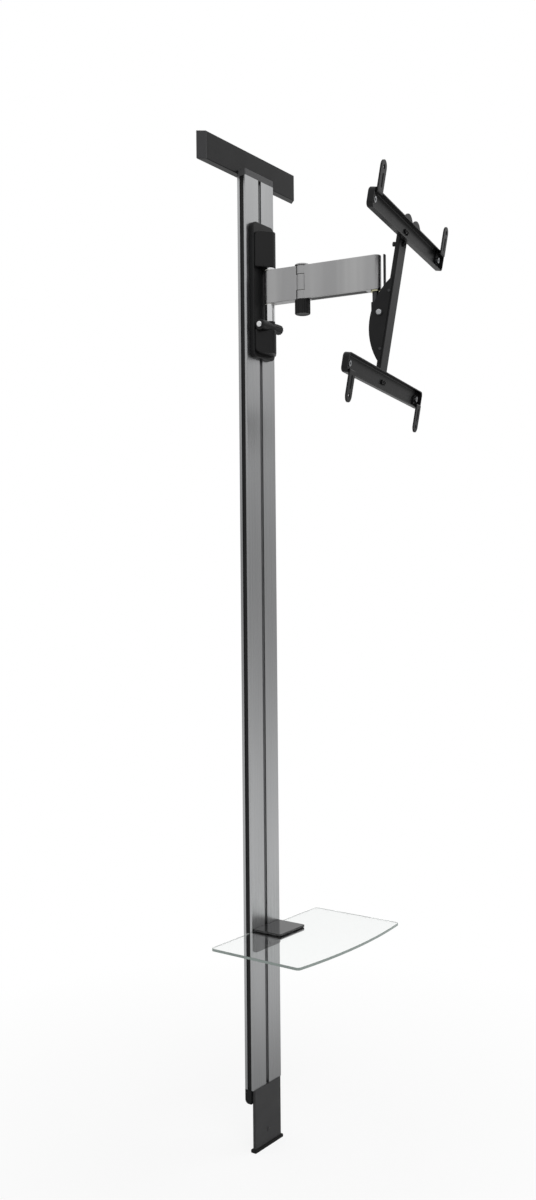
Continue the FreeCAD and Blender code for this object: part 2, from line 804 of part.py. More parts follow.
def carriage_plate():
    half = carriage_width / 2
    body = box(-half, half, carriage_back, carriage_front, carriage_bottom, carriage_top)
    body = rounded(body, carriage_corner_radius, FORWARD)
    front_edges = carriage_front - carriage_edge_radius
    body = rounded(body, carriage_edge_radius, None, lambda point: -point.y > front_edges)
    holes = []
    for z in carriage_screw_heights:
        holes.append(forward(screw_radius + run_gap, 0, z, carriage_back, carriage_front))
        holes.append(forward(screw_head_radius + fit_gap, 0, z, carriage_sink_back, carriage_front))
    for x, z in housing_screw_places:
        holes.append(forward(small_screw_radius + run_gap, x, z, carriage_back, carriage_front))
        holes.append(forward(small_head_radius + fit_gap, x, z, carriage_back, housing_sink_front))
    return body.cut(holes)


def housing_block(z0, z1, round_height):
    """Housing that narrows from its foot on the plate to a round nose about the shoulder axis."""
    half = housing_width / 2
    step_front = carriage_front + housing_step
    reach = shoulder_front - step_front
    slant = math.hypot(half, reach)
    turn = math.atan2(reach, half) + math.acos(nose_radius / slant)
    touch_x = nose_radius * math.cos(turn - 2 * math.atan2(reach, half))
    touch_front = shoulder_front + nose_radius * math.sin(turn - 2 * math.atan2(reach, half))
    outline = [(-half, carriage_front), (half, carriage_front), (half, step_front), (touch_x, touch_front),
               (-touch_x, touch_front), (-half, step_front)]
    body = prism(outline, z0, z1).fuse(upright(nose_radius, shoulder_front, z0, z1)).removeSplitter()
    frame = box(-half, half, carriage_front, shoulder_front + nose_radius, z0, z1)
    at_end = lambda point: abs(point.z - round_height) < housing_corner_radius
    frame = rounded(frame, housing_corner_radius, FORWARD, at_end)
    foot = carriage_front + housing_edge_radius / 2
    return rounded(body.common(frame), housing_edge_radius, None, lambda point: -point.y > foot)


def housing_screw_holes():
    return [forward(small_screw_radius + run_gap, x, z, carriage_front, housing_screw_end)
            for x, z in housing_screw_places]


def upper_bearing_housing():
    body = housing_block(upper_housing_bottom, upper_housing_top, upper_housing_top)
    socket = upright(shoulder_pin_radius + run_gap, shoulder_front, upper_housing_bottom,
                     upper_housing_bottom + upper_pin_socket)
    return body.cut([socket] + housing_screw_holes())


def lower_bearing_housing():
    """Lower housing, with a cross boss for the clamp bolt on top and the shoulder's seat on the boss."""
    body = housing_block(lower_housing_bottom, lower_housing_top, lower_housing_bottom)
    boss = across(clamp_boss_radius, shoulder_front, clamp_height, -clamp_boss_left, clamp_boss_right)
    past_boss = box(clamp_boss_right, spacer_radius, shoulder_front - spacer_radius,
                    shoulder_front + spacer_radius, clamp_height, shoulder_seat)
    seat = upright(spacer_radius, shoulder_front, clamp_height, shoulder_seat).cut(past_boss)
    body = body.fuse([boss, seat]).removeSplitter()
    socket = upright(shoulder_pin_radius + run_gap, shoulder_front,
                     shoulder_seat - lower_pin_socket, shoulder_seat)
    bore = across(clamp_bolt_radius + run_gap, shoulder_front, clamp_height, -housing_width, housing_width)
    head_room = across(clamp_head_radius + clamp_relief, shoulder_front, clamp_height,
                       -housing_width, -clamp_boss_left)
    knob_room = across(clamp_knob_radius + clamp_relief, shoulder_front, clamp_height,
                       clamp_boss_right, housing_width)
    return body.cut([socket, bore, head_room, knob_room] + housing_screw_holes())


def clamp_bolt():
    """Chrome bolt that runs through the boss and into the knob."""
    head_end = -clamp_boss_left - clamp_head_length
    head = across(clamp_head_radius, shoulder_front, clamp_height, head_end, -clamp_boss_left)
    head = rounded(head, clamp_head_round, None, lambda point: point.x < head_end + clamp_head_round)
    thread_end = clamp_knob_start + clamp_knob_length - clamp_knob_end_wall
    shank = across(clamp_bolt_radius, shoulder_front, clamp_height, -clamp_boss_left, thread_end)
    return head.fuse(shank).removeSplitter()


def clamp_knob():
    """Fluted black knob on the bolt's threaded end."""
    end = clamp_knob_start + clamp_knob_length
    body = across(clamp_knob_radius, shoulder_front, clamp_height, clamp_knob_start, end)
    body = rounded(body, clamp_knob_round, None, lambda point: point.x > end - clamp_knob_round)
    bore_end = end - clamp_knob_end_wall + slide_gap
    cuts = [across(clamp_bolt_radius + run_gap, shoulder_front, clamp_height, clamp_knob_start, bore_end)]
    for step in range(clamp_flute_count):
        turn = 2 * math.pi * step / clamp_flute_count
        flute_front = shoulder_front + (clamp_knob_radius + clamp_flute_radius / 2) * math.cos(turn)
        flute_height = clamp_height + (clamp_knob_radius + clamp_flute_radius / 2) * math.sin(turn)
        cuts.append(across(clamp_flute_radius, flute_front, flute_height, clamp_knob_start, end))
    return body.cut(cuts)


clamp_knob_start = clamp_boss_right + slide_gap
shoulder_pin = upright(shoulder_pin_radius, shoulder_front, shoulder_seat - lower_pin_socket,
                       upper_housing_bottom + upper_pin_socket)
shoulder_hole = shoulder_pin_radius + run_gap
lower_washer_bottom = shoulder_seat + lower_spacer_tall
upper_washer_top = upper_housing_bottom - upper_spacer_tall
shoulder_spacers = [
    ring(spacer_radius, shoulder_hole, shoulder_front, shoulder_seat, lower_washer_bottom),
    ring(spacer_radius, shoulder_hole, shoulder_front, upper_washer_top, upper_housing_bottom),
]
shoulder_washers = [
    ring(spacer_radius, shoulder_hole, shoulder_front, lower_washer_bottom,
         lower_washer_bottom + washer_thick),
    ring(spacer_radius, shoulder_hole, shoulder_front, upper_washer_top - washer_thick, upper_washer_top),
]
housing_screws = [
    screw_backward(x, z, housing_sink_front - small_head_tall, housing_screw_end, small_screw_radius,
                   small_head_radius, small_head_tall)
    for x, z in housing_screw_places
]
carriage_screws = [
    screw_forward(0, z, carriage_sink_back + screw_head_tall, slide_nut_back, screw_radius, screw_head_radius,
                  screw_head_tall)
    for z in carriage_screw_heights
]
carriage_nuts = [slot_nut(z, slide_nut_back) for z in carriage_screw_heights]

add("carriage_plate", carriage_plate(), column_place)
add("upper_bearing_housing", upper_bearing_housing(), column_place)
add("lower_bearing_housing", lower_bearing_housing(), column_place)
add("housing_screws", group(housing_screws), column_place)
add("carriage_screws_and_nuts", group(carriage_screws + carriage_nuts), column_place)
add("shoulder_pin", shoulder_pin, column_place)
add("shoulder_spacers", group(shoulder_spacers), column_place)
add("shoulder_washers", group(shoulder_washers), column_place)
add("clamp_bolt", clamp_bolt(), column_place)
add("clamp_knob", clamp_knob(), column_place)


# Arm: two links with rounded ends, hinged in each other's knuckles at the elbow
low_knuckle_top = arm_bottom + knuckle_tall
high_knuckle_bottom = arm_top - knuckle_tall
middle_low = low_knuckle_top + knuckle_gap
middle_high = high_knuckle_bottom - knuckle_gap
elbow_hole = elbow_pin_radius + run_gap
elbow_bush_radius = elbow_pin_radius + elbow_bush_wall
shoulder_bush_radius = shoulder_pin_radius + shoulder_bush_wall
swivel_hole = swivel_pin_radius + run_gap
swivel_bush_radius = swivel_pin_radius + swivel_bush_wall
sink_floor = arm_top - swivel_sink_deep
knuckle_room = elbow_barrel_radius + knuckle_clear


def link_bar(far):
    """Bar from the elbow's barrel to a round far end, as tall as the arm."""
    strip = box(-arm_radius, arm_radius, min(far, elbow_at), max(far, elbow_at), arm_bottom, arm_top)
    strip = strip.fuse(upright(arm_radius, far, arm_bottom, arm_top)).removeSplitter()
    barrel = upright(elbow_barrel_radius, elbow_at, arm_bottom, arm_top)
    flat = arm_tall / 2 - arm_edge_radius
    strip = rounded(strip, arm_edge_radius, None, lambda point: abs(point.z - arm_mid_height) > flat)
    barrel = rounded(barrel, arm_edge_radius, None, lambda point: abs(point.z - arm_mid_height) > flat)
    return strip.fuse(barrel).removeSplitter()


def inner_link():
    """Short link: full height at the shoulder, with one middle knuckle at the elbow."""
    cuts = [
        upright(knuckle_room, elbow_at, arm_bottom, middle_low),
        upright(knuckle_room, elbow_at, middle_high, arm_top),
        upright(elbow_hole, elbow_at, arm_bottom, arm_top),
        upright(shoulder_bush_radius, 0, arm_bottom, arm_top),
    ]
    return link_bar(0).cut(cuts)


def outer_link():
    """Long link: two knuckles at the elbow, a hollow underside for cables and a bore for the head's shaft."""
    cuts = [
        upright(knuckle_room, elbow_at, low_knuckle_top, high_knuckle_bottom),
        upright(elbow_bush_radius, elbow_at, arm_bottom, arm_top),
        upright(swivel_bush_radius, swivel_at, arm_bottom, arm_top),
        upright(swivel_sink_radius, swivel_at, sink_floor, arm_top),
        cable_pocket(arm_bottom, arm_bottom + arm_pocket_deep, 0),
    ]
    return link_bar(swivel_at).cut(cuts)


def cable_pocket(z0, z1, gap):
    """Long hollow between the two ends of the outer link, less a gap all round."""
    half = arm_radius - arm_wall - gap
    return box(-half, half, elbow_at + arm_pocket_clear + gap, swivel_at - arm_pocket_clear - gap, z0, z1)


def elbow_bolt():
    """Pin through the knuckles with a round cap on top."""
    cap_bottom = arm_top + slide_gap
    cap_top = cap_bottom + elbow_cap_tall
    cap = upright(elbow_cap_radius, elbow_at, cap_bottom, cap_top)
    cap = rounded(cap, elbow_cap_round, None, lambda point: point.z > cap_top - elbow_cap_round)
    pin = upright(elbow_pin_radius, elbow_at, knob_top - elbow_knob_tall + elbow_knob_floor, cap_bottom)
    return cap.fuse(pin).removeSplitter()


def elbow_knob():
    """Black tension knob under the elbow."""
    bottom = knob_top - elbow_knob_tall
    body = upright(elbow_knob_radius, elbow_at, bottom, knob_top)
    body = rounded(body, elbow_knob_round, None, lambda point: point.z < bottom + elbow_knob_round)
    cuts = [upright(elbow_hole, elbow_at, bottom + elbow_knob_floor - slide_gap, knob_top)]
    for step in range(elbow_flute_count):
        turn = 2 * math.pi * step / elbow_flute_count
        reach = elbow_knob_radius + elbow_flute_radius / 2
        cuts.append(upright(elbow_flute_radius, elbow_at + reach * math.cos(turn), bottom, knob_top,
                            reach * math.sin(turn)))
    return body.cut(cuts)


shoulder_bushes = [
    ring(shoulder_bush_radius - run_gap, shoulder_hole, 0, arm_bottom, arm_bottom + shoulder_bush_length),
    ring(shoulder_bush_radius - run_gap, shoulder_hole, 0, arm_top - shoulder_bush_length, arm_top),
]
elbow_bushes = [
    ring(elbow_bush_radius - run_gap, elbow_hole, elbow_at, arm_bottom, low_knuckle_top),
    ring(elbow_bush_radius - run_gap, elbow_hole, elbow_at, high_knuckle_bottom, arm_top),
]
elbow_washers = [
    ring(spacer_radius, elbow_hole, elbow_at, middle_low - washer_thick, middle_low),
    ring(spacer_radius, elbow_hole, elbow_at, middle_high, middle_high + washer_thick),
]
swivel_bushes = [
    ring(swivel_bush_radius - run_gap, swivel_hole, swivel_at, arm_bottom, arm_bottom + swivel_bush_length),
    ring(swivel_bush_radius - run_gap, swivel_hole, swivel_at, sink_floor - swivel_bush_length, sink_floor),
]

add("inner_link", inner_link(), arm_place)
add("shoulder_bushes", group(shoulder_bushes), arm_place)
add("elbow_bolt", elbow_bolt(), arm_place)
add("elbow_washers", group(elbow_washers), arm_place)
add("elbow_knob", elbow_knob(), arm_place)
add("outer_link", outer_link(), arm_place)
add("elbow_bushes", group(elbow_bushes), arm_place)
add("swivel_bushes", group(swivel_bushes), arm_place)
add("arm_cable_cover", cable_pocket(arm_bottom, arm_bottom + cable_cover_thick, run_gap), arm_place)


# Head swivel: a shaft hangs the bracket under the arm's end, and the bracket's barrel carries the tilt bolt
washer_top = arm_bottom - slide_gap
post_top = washer_top - swivel_washer_thick
block_bottom = bracket_top - bracket_block_tall
block_half = tilt_half_width - washer_thick - slide_gap
tongue_top = arm_top
shaft_top = sink_floor + slide_gap


def swivel_shaft():
    post = upright(swivel_post_radius, swivel_at, block_bottom, post_top)
    pin = upright(swivel_pin_radius, swivel_at, post_top, shaft_top)
    bore = upright(screw_radius + run_gap, swivel_at, shaft_top - retainer_screw_bite, shaft_top)
    return post.fuse(pin).removeSplitter().cut(bore)


def shaft_retainer():
    """Washer and screw that hold the shaft up in the arm."""
    washer_edge = shaft_top + retainer_thick
    disc = ring(retainer_radius, screw_radius + run_gap, swivel_at, shaft_top, washer_edge)
    head = upright(screw_head_radius, swivel_at, washer_edge, washer_edge + screw_head_tall)
    shank = upright(screw_radius, swivel_at, shaft_top - retainer_screw_bite, washer_edge)
    return group([disc, head.fuse(shank).removeSplitter()])


def swivel_bracket():
    """Boss round the shaft, a block forward to the tilt barrel and an upright tongue before the arm's end."""
    boss = upright(bracket_boss_radius, swivel_at, block_bottom, bracket_top)
    block_front = tilt_at + bracket_block_front
    block = box(-bracket_boss_radius, bracket_boss_radius, swivel_at, block_front, block_bottom, bracket_top)
    barrel = across(tilt_barrel_radius, tilt_at, tilt_height, -block_half, block_half)
    tongue_back = tilt_at + tongue_before_tilt
    tongue = box(-tongue_width / 2, tongue_width / 2, tongue_back, tongue_back + tongue_thick,
                 block_bottom, tongue_top)
    body = boss.fuse([block, barrel, tongue]).removeSplitter()
    shaft_bore = upright(swivel_post_radius, swivel_at, block_bottom, bracket_top)
    tilt_bore = across(tilt_bolt_radius + run_gap, tilt_at, tilt_height, -tilt_half_width, tilt_half_width)
    return body.cut([shaft_bore, tilt_bore])


def friction_washer(side):
    inner = min(side * block_half, side * (block_half + washer_thick))
    outer = max(side * block_half, side * (block_half + washer_thick))
    disc = across(friction_washer_radius, tilt_at, tilt_height, inner, outer)
    return disc.cut(across(tilt_bolt_radius + run_gap, tilt_at, tilt_height, inner, outer))


add("swivel_shaft", swivel_shaft(), arm_place)
add("swivel_washer", ring(swivel_washer_radius, swivel_hole, swivel_at, post_top, washer_top), arm_place)
add("shaft_retainer", shaft_retainer(), arm_place)
add("swivel_bracket", swivel_bracket(), arm_place)
add("friction_washers", group([friction_washer(side) for side in (-1, 1)]), arm_place)


# Head frame, drawn about the tilt axis: a spine with two half-moon cheeks, and two trays for the fingers
bar_heights = {"top": top_bar_rise, "bottom": -bottom_bar_drop}
spine_top = top_bar_rise + bar_tall / 2 - spine_end_inset
spine_bottom = -bottom_bar_drop - bar_tall / 2 + spine_end_inset
cheek_outer = tilt_half_width + cheek_thick
bar_bolt_places = [(side * bar_bolt_spacing / 2, z) for side in (-1, 1) for z in bar_heights.values()]
finger_bolt_x = bar_length / 2 - finger_bolt_inset
finger_bolt_places = [(side * finger_bolt_x, z) for side in (-1, 1) for z in bar_heights.values()]
rivet_front = spine_back + cheek_lap / 2
rivet_heights = [side * rivet_spacing / 2 - cheek_drop for side in (-1, 1)]
lock_height = top_bar_rise - bar_tall / 2 - lock_screw_below_bar


def head_spine():
    """Channel with its web to the front."""
    half = spine_width / 2
    inside = half - spine_wall
    body = box(-half, half, spine_back, spine_front, spine_bottom, spine_top)
    body = rounded(body, spine_bend_radius, UP, lambda point: -point.y > spine_back + spine_wall)
    hollow = box(-inside, inside, spine_back - cut_overrun, spine_front - spine_wall, spine_bottom, spine_top)
    holes = [forward(bar_bolt_radius + run_gap, x, z, spine_back, spine_front) for x, z in bar_bolt_places]
    holes += [across(rivet_radius, rivet_front, z, -half, half) for z in rivet_heights]
    holes.append(forward(bar_bolt_radius + run_gap, 0, lock_height, spine_back, spine_front))
    return body.cut([hollow] + holes)


def tilt_cheek(side):
    """Half-moon plate riveted to one flange of the spine."""
    inner = min(side * tilt_half_width, side * cheek_outer)
    outer = max(side * tilt_half_width, side * cheek_outer)
    disc = across(cheek_radius, cheek_radius - cheek_bulge, -cheek_drop, inner, outer)
    half_plane = box(inner, outer, -cheek_radius, spine_back + cheek_lap,
                     -cheek_drop - cheek_radius, cheek_radius - cheek_drop)
    holes = [across(tilt_bolt_radius, 0, 0, inner, outer)]
    holes += [across(rivet_radius, rivet_front, z, inner, outer) for z in rivet_heights]
    return disc.common(half_plane).cut(holes)


def cheek_rivet(side, z):
    start = tilt_half_width - spine_wall - rivet_head_tall
    end = cheek_outer + rivet_head_tall
    lap = [(tilt_half_width - spine_wall, cheek_outer, rivet_radius)]
    heads = [(start, tilt_half_width - spine_wall, rivet_head_radius), (cheek_outer, end, rivet_head_radius)]
    pieces = [
        across(radius, rivet_front, z, min(side * near, side * far), max(side * near, side * far))
        for near, far, radius in lap + heads
    ]
    return pieces[0].fuse(pieces[1:]).removeSplitter()


def bar(z):
    """Tray that opens to the television, with rounded ends."""
    half = bar_length / 2
    body = box(-half, half, spine_front, bar_rim, z - bar_tall / 2, z + bar_tall / 2)
    body = rounded(body, bar_corner_radius, FORWARD)
    body = rounded(body, bar_bend_radius, None, lambda point: -point.y < spine_front + bar_bend_radius)
    inside = box(-half + bar_wall, half - bar_wall, bar_floor, bar_rim + cut_overrun,
                 z - bar_tall / 2 + bar_wall, z + bar_tall / 2 - bar_wall)
    inside = rounded(inside, bar_corner_radius - bar_wall, FORWARD)
    inner_bend = bar_bend_radius - bar_wall
    inside = rounded(inside, inner_bend, None, lambda point: -point.y < bar_floor + inner_bend)
    holes = [forward(bar_bolt_radius + run_gap, side * bar_bolt_spacing / 2, z, spine_front, bar_floor)
             for side in (-1, 1)]
    holes += [forward(finger_bolt_radius, side * finger_bolt_x, z, spine_front, bar_floor)
              for side in (-1, 1)]
    return body.cut([inside] + holes)


def top_bar():
    """Upper tray, with two rounded lugs on its upper rim."""
    edge = top_bar_rise + bar_tall / 2
    lugs = []
    for side in (-1, 1):
        disc = forward(lug_radius, side * lug_spacing / 2, edge + lug_rise - lug_radius,
                       bar_rim - bar_wall, bar_rim)
        above = box(-bar_length, bar_length, bar_rim - bar_wall, bar_rim, edge - bar_wall, edge + lug_rise)
        lugs.append(disc.common(above))
    return bar(top_bar_rise).fuse(lugs).removeSplitter()


def tilt_bolt():
    """Chrome bolt through both cheeks and the bracket's barrel."""
    under_head = -cheek_outer - tilt_washer_thick
    head_end = under_head - tilt_head_tall
    head = across(tilt_head_radius, 0, 0, head_end, under_head)
    head = rounded(head, tilt_head_round, None, lambda point: point.x < head_end + tilt_head_round)
    shank = across(tilt_bolt_radius, 0, 0, under_head, cheek_outer + tilt_washer_thick + tilt_nut_tall)
    return head.fuse(shank).removeSplitter()


def tilt_nut_and_washers():
    washers = []
    nut_start = cheek_outer + tilt_washer_thick
    for x0, x1 in ((-nut_start, -cheek_outer), (cheek_outer, nut_start)):
        washers.append(across(tilt_washer_radius, 0, 0, x0, x1).cut(across(tilt_bolt_radius, 0, 0, x0, x1)))
    nut = hex_nut(tilt_nut_flats, tilt_bolt_radius, 0, 0, -nut_start - tilt_nut_tall, -nut_start)
    nut.rotate(FreeCAD.Vector(0, 0, 0), UP, -quarter_turn)
    return group(washers + [nut])


quarter_turn = 90.0
bar_nut_front = spine_front - spine_wall
lock_back = spine_back - lock_screw_reach
bar_bolts = [
    screw_forward(x, z, bar_floor + bar_bolt_head_tall, bar_nut_front - bar_nut_tall, bar_bolt_radius,
                  bar_bolt_head_radius, bar_bolt_head_tall)
    for x, z in bar_bolt_places
]
bar_nuts = [hex_nut(bar_nut_flats, bar_bolt_radius, x, z, bar_nut_front - bar_nut_tall, bar_nut_front)
            for x, z in bar_bolt_places]
lock_screw = screw_forward(0, lock_height, spine_front + bar_bolt_head_tall, lock_back, bar_bolt_radius,
                           bar_bolt_head_radius, bar_bolt_head_tall)
lock_nut = forward(lock_nut_radius, 0, lock_height, lock_back, lock_back + lock_nut_tall)
lock_nut = lock_nut.cut(forward(bar_bolt_radius + run_gap, 0, lock_height, lock_back,
                                lock_back + lock_nut_tall))
finger_back = bar_floor + fit_gap
finger_front = finger_back + finger_steel
finger_bolts = [
    screw_forward(x, z, finger_front + fit_gap + finger_head_tall, spine_front - nut_tall, finger_bolt_radius,
                  finger_head_radius, finger_head_tall)
    for x, z in finger_bolt_places
]
finger_nuts = [hex_nut(nut_flats, finger_bolt_radius, x, z, spine_front - nut_tall, spine_front)
               for x, z in finger_bolt_places]

add("head_spine", head_spine(), head_place)
add("tilt_cheek_left", tilt_cheek(-1), head_place)
add("tilt_cheek_right", tilt_cheek(1), head_place)
add("cheek_rivets", group([cheek_rivet(side, z) for side in (-1, 1) for z in rivet_heights]), head_place)
add("tilt_bolt", tilt_bolt(), head_place)
add("tilt_nut_and_washers", tilt_nut_and_washers(), head_place)
add("top_bar", top_bar(), head_place)
add("bottom_bar", bar(-bottom_bar_drop), head_place)
add("bar_bolts_and_nuts", group(bar_bolts + bar_nuts + [lock_screw, lock_nut]), head_place)
add("finger_bolts_and_nuts", group(finger_bolts + finger_nuts), head_place)


# Finger plates: stepped strips that swing on their bolts and reach out past the trays
blade_back = bar_rim + slide_gap
blade_front = blade_back + finger_steel


def finger(x, z, up):
    """Strip with its base in the tray, a riser over the rim and a long blade; up is 1 or -1."""
    half_base = finger_base_width / 2
    half = finger_width / 2
    riser_inner = finger_riser_reach - finger_steel
    tip = finger_length - half
    base = box(-half_base, half_base, finger_back, finger_front, 0, finger_riser_reach)
    base = base.fuse(forward(half_base, 0, 0, finger_back, finger_front))
    riser = box(-half_base, half_base, finger_back, blade_front, riser_inner, finger_riser_reach)
    blade = box(-half, half, blade_back, blade_front, riser_inner, tip)
    blade = blade.fuse(forward(half, 0, tip, blade_back, blade_front))
    slot = box(-finger_slot_radius, finger_slot_radius, blade_back, blade_front,
               finger_slot_start, finger_slot_end)
    slot_ends = [forward(finger_slot_radius, 0, end, blade_back, blade_front)
                 for end in (finger_slot_start, finger_slot_end)]
    screw_hole = forward(finger_hole_radius, 0, finger_length - finger_hole_from_tip, blade_back, blade_front)
    pivot = forward(finger_bolt_radius + run_gap, 0, 0, finger_back, finger_front)
    body = base.fuse([riser, blade]).removeSplitter()
    bends = [
        (finger_back, finger_riser_reach, finger_bend_radius),
        (blade_front, riser_inner, finger_bend_radius),
        (finger_front, riser_inner, finger_inner_bend_radius),
        (blade_back, finger_riser_reach, finger_inner_bend_radius),
    ]
    for front, height, radius in bends:
        bend = FreeCAD.Vector(0, -front, height)
        body = rounded(body, radius, ACROSS, lambda point: point.distanceToPoint(bend) < radius)
    body = body.cut([slot, screw_hole, pivot] + slot_ends)
    if up < 0:
        body.rotate(FreeCAD.Vector(0, 0, 0), FORWARD, 2 * quarter_turn)
    body.translate(FreeCAD.Vector(x, 0, z))
    return body


for end, z in bar_heights.items():
    for side_name, side in (("left", -1), ("right", 1)):
        up = 1 if z > 0 else -1
        add("finger_" + end + "_" + side_name, finger(side * finger_bolt_x, z, up), head_place)

os.makedirs("parts", exist_ok=True)
for name, shape in nodes.items():
    shape.exportStep("parts/" + name + ".step")
print(len(nodes), "pieces written")
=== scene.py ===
import math

import bpy
import numpy as np
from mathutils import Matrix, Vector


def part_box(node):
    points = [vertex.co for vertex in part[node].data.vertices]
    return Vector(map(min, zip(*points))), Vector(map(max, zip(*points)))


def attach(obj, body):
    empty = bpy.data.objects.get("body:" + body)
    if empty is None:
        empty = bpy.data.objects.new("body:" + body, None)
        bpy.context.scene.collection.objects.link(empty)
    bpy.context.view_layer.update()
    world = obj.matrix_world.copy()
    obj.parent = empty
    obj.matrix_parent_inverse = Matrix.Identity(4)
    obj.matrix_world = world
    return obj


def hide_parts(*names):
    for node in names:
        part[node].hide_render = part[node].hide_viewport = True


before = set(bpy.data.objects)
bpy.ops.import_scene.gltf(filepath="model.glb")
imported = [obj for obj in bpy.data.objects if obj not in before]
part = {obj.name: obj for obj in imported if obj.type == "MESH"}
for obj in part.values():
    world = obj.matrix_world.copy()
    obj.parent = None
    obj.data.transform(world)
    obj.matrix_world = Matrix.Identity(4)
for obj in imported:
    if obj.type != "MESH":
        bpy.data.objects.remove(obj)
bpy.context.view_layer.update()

# Column: a long aluminium extrusion with a nut slot down its front and its back. It is drawn through a die,
# which leaves fine lengthwise lines, and then satin anodised.
noise_low = 0.3
noise_high = 0.7
edge_samples = 4
unturned = (0.0, 0.0, 0.0)


def start_material(name, colour, metallic, roughness, shine=0.5):
    """A material whose plain values sit on the shader's own sockets."""
    material = bpy.data.materials.new(name)
    material.use_nodes = True
    shader = material.node_tree.nodes["Principled BSDF"]
    shader.inputs["Base Color"].default_value = (*colour, 1.0)
    shader.inputs["Metallic"].default_value = metallic
    shader.inputs["Roughness"].default_value = roughness
    shader.inputs["Specular IOR Level"].default_value = shine
    return material, shader


def grain(tree, size, turn=unturned, detail=2.0):
    """Noise whose blots have a given size along each axis: Object coordinates, turned back, over the size."""
    place = tree.nodes.new("ShaderNodeTexCoord")
    mapping = tree.nodes.new("ShaderNodeMapping")
    mapping.vector_type = "TEXTURE"
    mapping.inputs["Rotation"].default_value = turn
    mapping.inputs["Scale"].default_value = size
    noise = tree.nodes.new("ShaderNodeTexNoise")
    noise.inputs["Scale"].default_value = 1.0
    noise.inputs["Detail"].default_value = detail
    tree.links.new(place.outputs["Object"], mapping.inputs["Vector"])
    tree.links.new(mapping.outputs["Vector"], noise.inputs["Vector"])
    return noise.outputs["Fac"]


def carry(tree, pattern, start, end, low, high, socket):
    """Carry a pattern that runs from start to end on to a socket, as a value from low to high."""
    step = tree.nodes.new("ShaderNodeMapRange")
    step.inputs["From Min"].default_value = start
    step.inputs["From Max"].default_value = end
    step.inputs["To Min"].default_value = low
    step.inputs["To Max"].default_value = high
    tree.links.new(pattern, step.inputs["Value"])
    tree.links.new(step.outputs["Result"], socket)


def tint(tree, pattern, start, end, low, high):
    """Carry a pattern that runs from start to end on to the shader's colour, between two colours."""
    ramp = tree.nodes.new("ShaderNodeValToRGB")
    ramp.color_ramp.elements[0].position = start
    ramp.color_ramp.elements[0].color = (*low, 1.0)
    ramp.color_ramp.elements[1].position = end
    ramp.color_ramp.elements[1].color = (*high, 1.0)
    tree.links.new(pattern, ramp.inputs["Fac"])
    tree.links.new(ramp.outputs["Color"], tree.nodes["Principled BSDF"].inputs["Base Color"])


def cloud(material, size, low, high, turn=unturned):
    """Soft blots of two colours: a noise of a given size, carried on to the shader's colour."""
    tree = material.node_tree
    tint(tree, grain(tree, size, turn), noise_low, noise_high, low, high)


def finish(name, colour, rough, blot, depth, edge=0.0, metallic=0.0, shine=0.5, detail=2.0, turn=unturned):
    """A material whose roughness and fine relief follow one noise. rough holds the least and the greatest
    roughness, blot is the noise's size along each axis, depth is the height of the relief in metres, and
    edge is a radius that softens sharp edges."""
    material, shader = start_material(name, colour, metallic, sum(rough) / 2.0, shine)
    tree = material.node_tree
    noise = grain(tree, blot, turn, detail)
    carry(tree, noise, noise_low, noise_high, rough[0], rough[1], shader.inputs["Roughness"])
    bump = tree.nodes.new("ShaderNodeBump")
    bump.inputs["Strength"].default_value = 1.0
    bump.inputs["Distance"].default_value = depth
    tree.links.new(noise, bump.inputs["Height"])
    if edge > 0.0:
        soft = tree.nodes.new("ShaderNodeBevel")
        soft.samples = edge_samples
        soft.inputs["Radius"].default_value = edge
        tree.links.new(soft.outputs["Normal"], bump.inputs["Normal"])
    tree.links.new(bump.outputs["Normal"], shader.inputs["Normal"])
    return material


def dress(material, *names):
    """Give CAD pieces their finish."""
    for name in names:
        part[name].data.materials.clear()
        part[name].data.materials.append(material)


anodised = finish(
    "anodised_extrusion", colour=(0.44, 0.445, 0.45), metallic=1.0, rough=(0.26, 0.34),
    blot=(0.0006, 0.0006, 0.9), depth=0.000004,
)
cloud(anodised, size=(0.06, 0.06, 0.45), low=(0.42, 0.425, 0.43), high=(0.46, 0.465, 0.47))
dress(anodised, "column_extrusion")

# Cable covers: black plastic strips pressed into the grooves in the column's sides, and a moulded cap
# of dark grey plastic that plugs the column's top end.
moulded_black = finish(
    "moulded_black", colour=(0.005, 0.005, 0.0053), rough=(0.40, 0.54), shine=0.25,
    blot=(0.0006, 0.0006, 0.0006), detail=3.0, depth=0.000012, edge=0.0004,
)
dress(moulded_black, "side_cable_cover_left", "side_cable_cover_right")

cap_grey = finish(
    "cap_grey", colour=(0.06, 0.06, 0.062), rough=(0.44, 0.58), shine=0.35,
    blot=(0.0007, 0.0007, 0.0007), detail=3.0, depth=0.000014, edge=0.0004,
)
dress(cap_grey, "column_top_cap")

# Wall bar: a folded black steel cover clipped over a zinc-plated hook bracket, closed by two moulded caps.
# The hang plate on the column's back hooks over the bracket's lip.
powder_black = finish(
    "powder_black", colour=(0.007, 0.007, 0.0074), rough=(0.29, 0.38), shine=0.2,
    blot=(0.0011, 0.0011, 0.0011), depth=0.000006, edge=0.0004,
)
cloud(powder_black, size=(0.03, 0.03, 0.03), low=(0.006, 0.006, 0.0064), high=(0.009, 0.009, 0.0094))

zinc = finish(
    "zinc_plate", colour=(0.42, 0.43, 0.44), metallic=1.0, rough=(0.26, 0.42),
    blot=(0.004, 0.004, 0.004), detail=3.0, depth=0.00001, edge=0.0003,
)

moulded_grey = finish(
    "moulded_grey", colour=(0.032, 0.032, 0.0335), rough=(0.44, 0.58), shine=0.35,
    blot=(0.0007, 0.0007, 0.0007), detail=3.0, depth=0.000014, edge=0.0004,
)

dress(powder_black, "wall_bar_cover")
dress(moulded_grey, "wall_bar_end_cap_left", "wall_bar_end_cap_right")
dress(zinc, "wall_bracket", "hang_plate", "hang_screws_and_nuts")

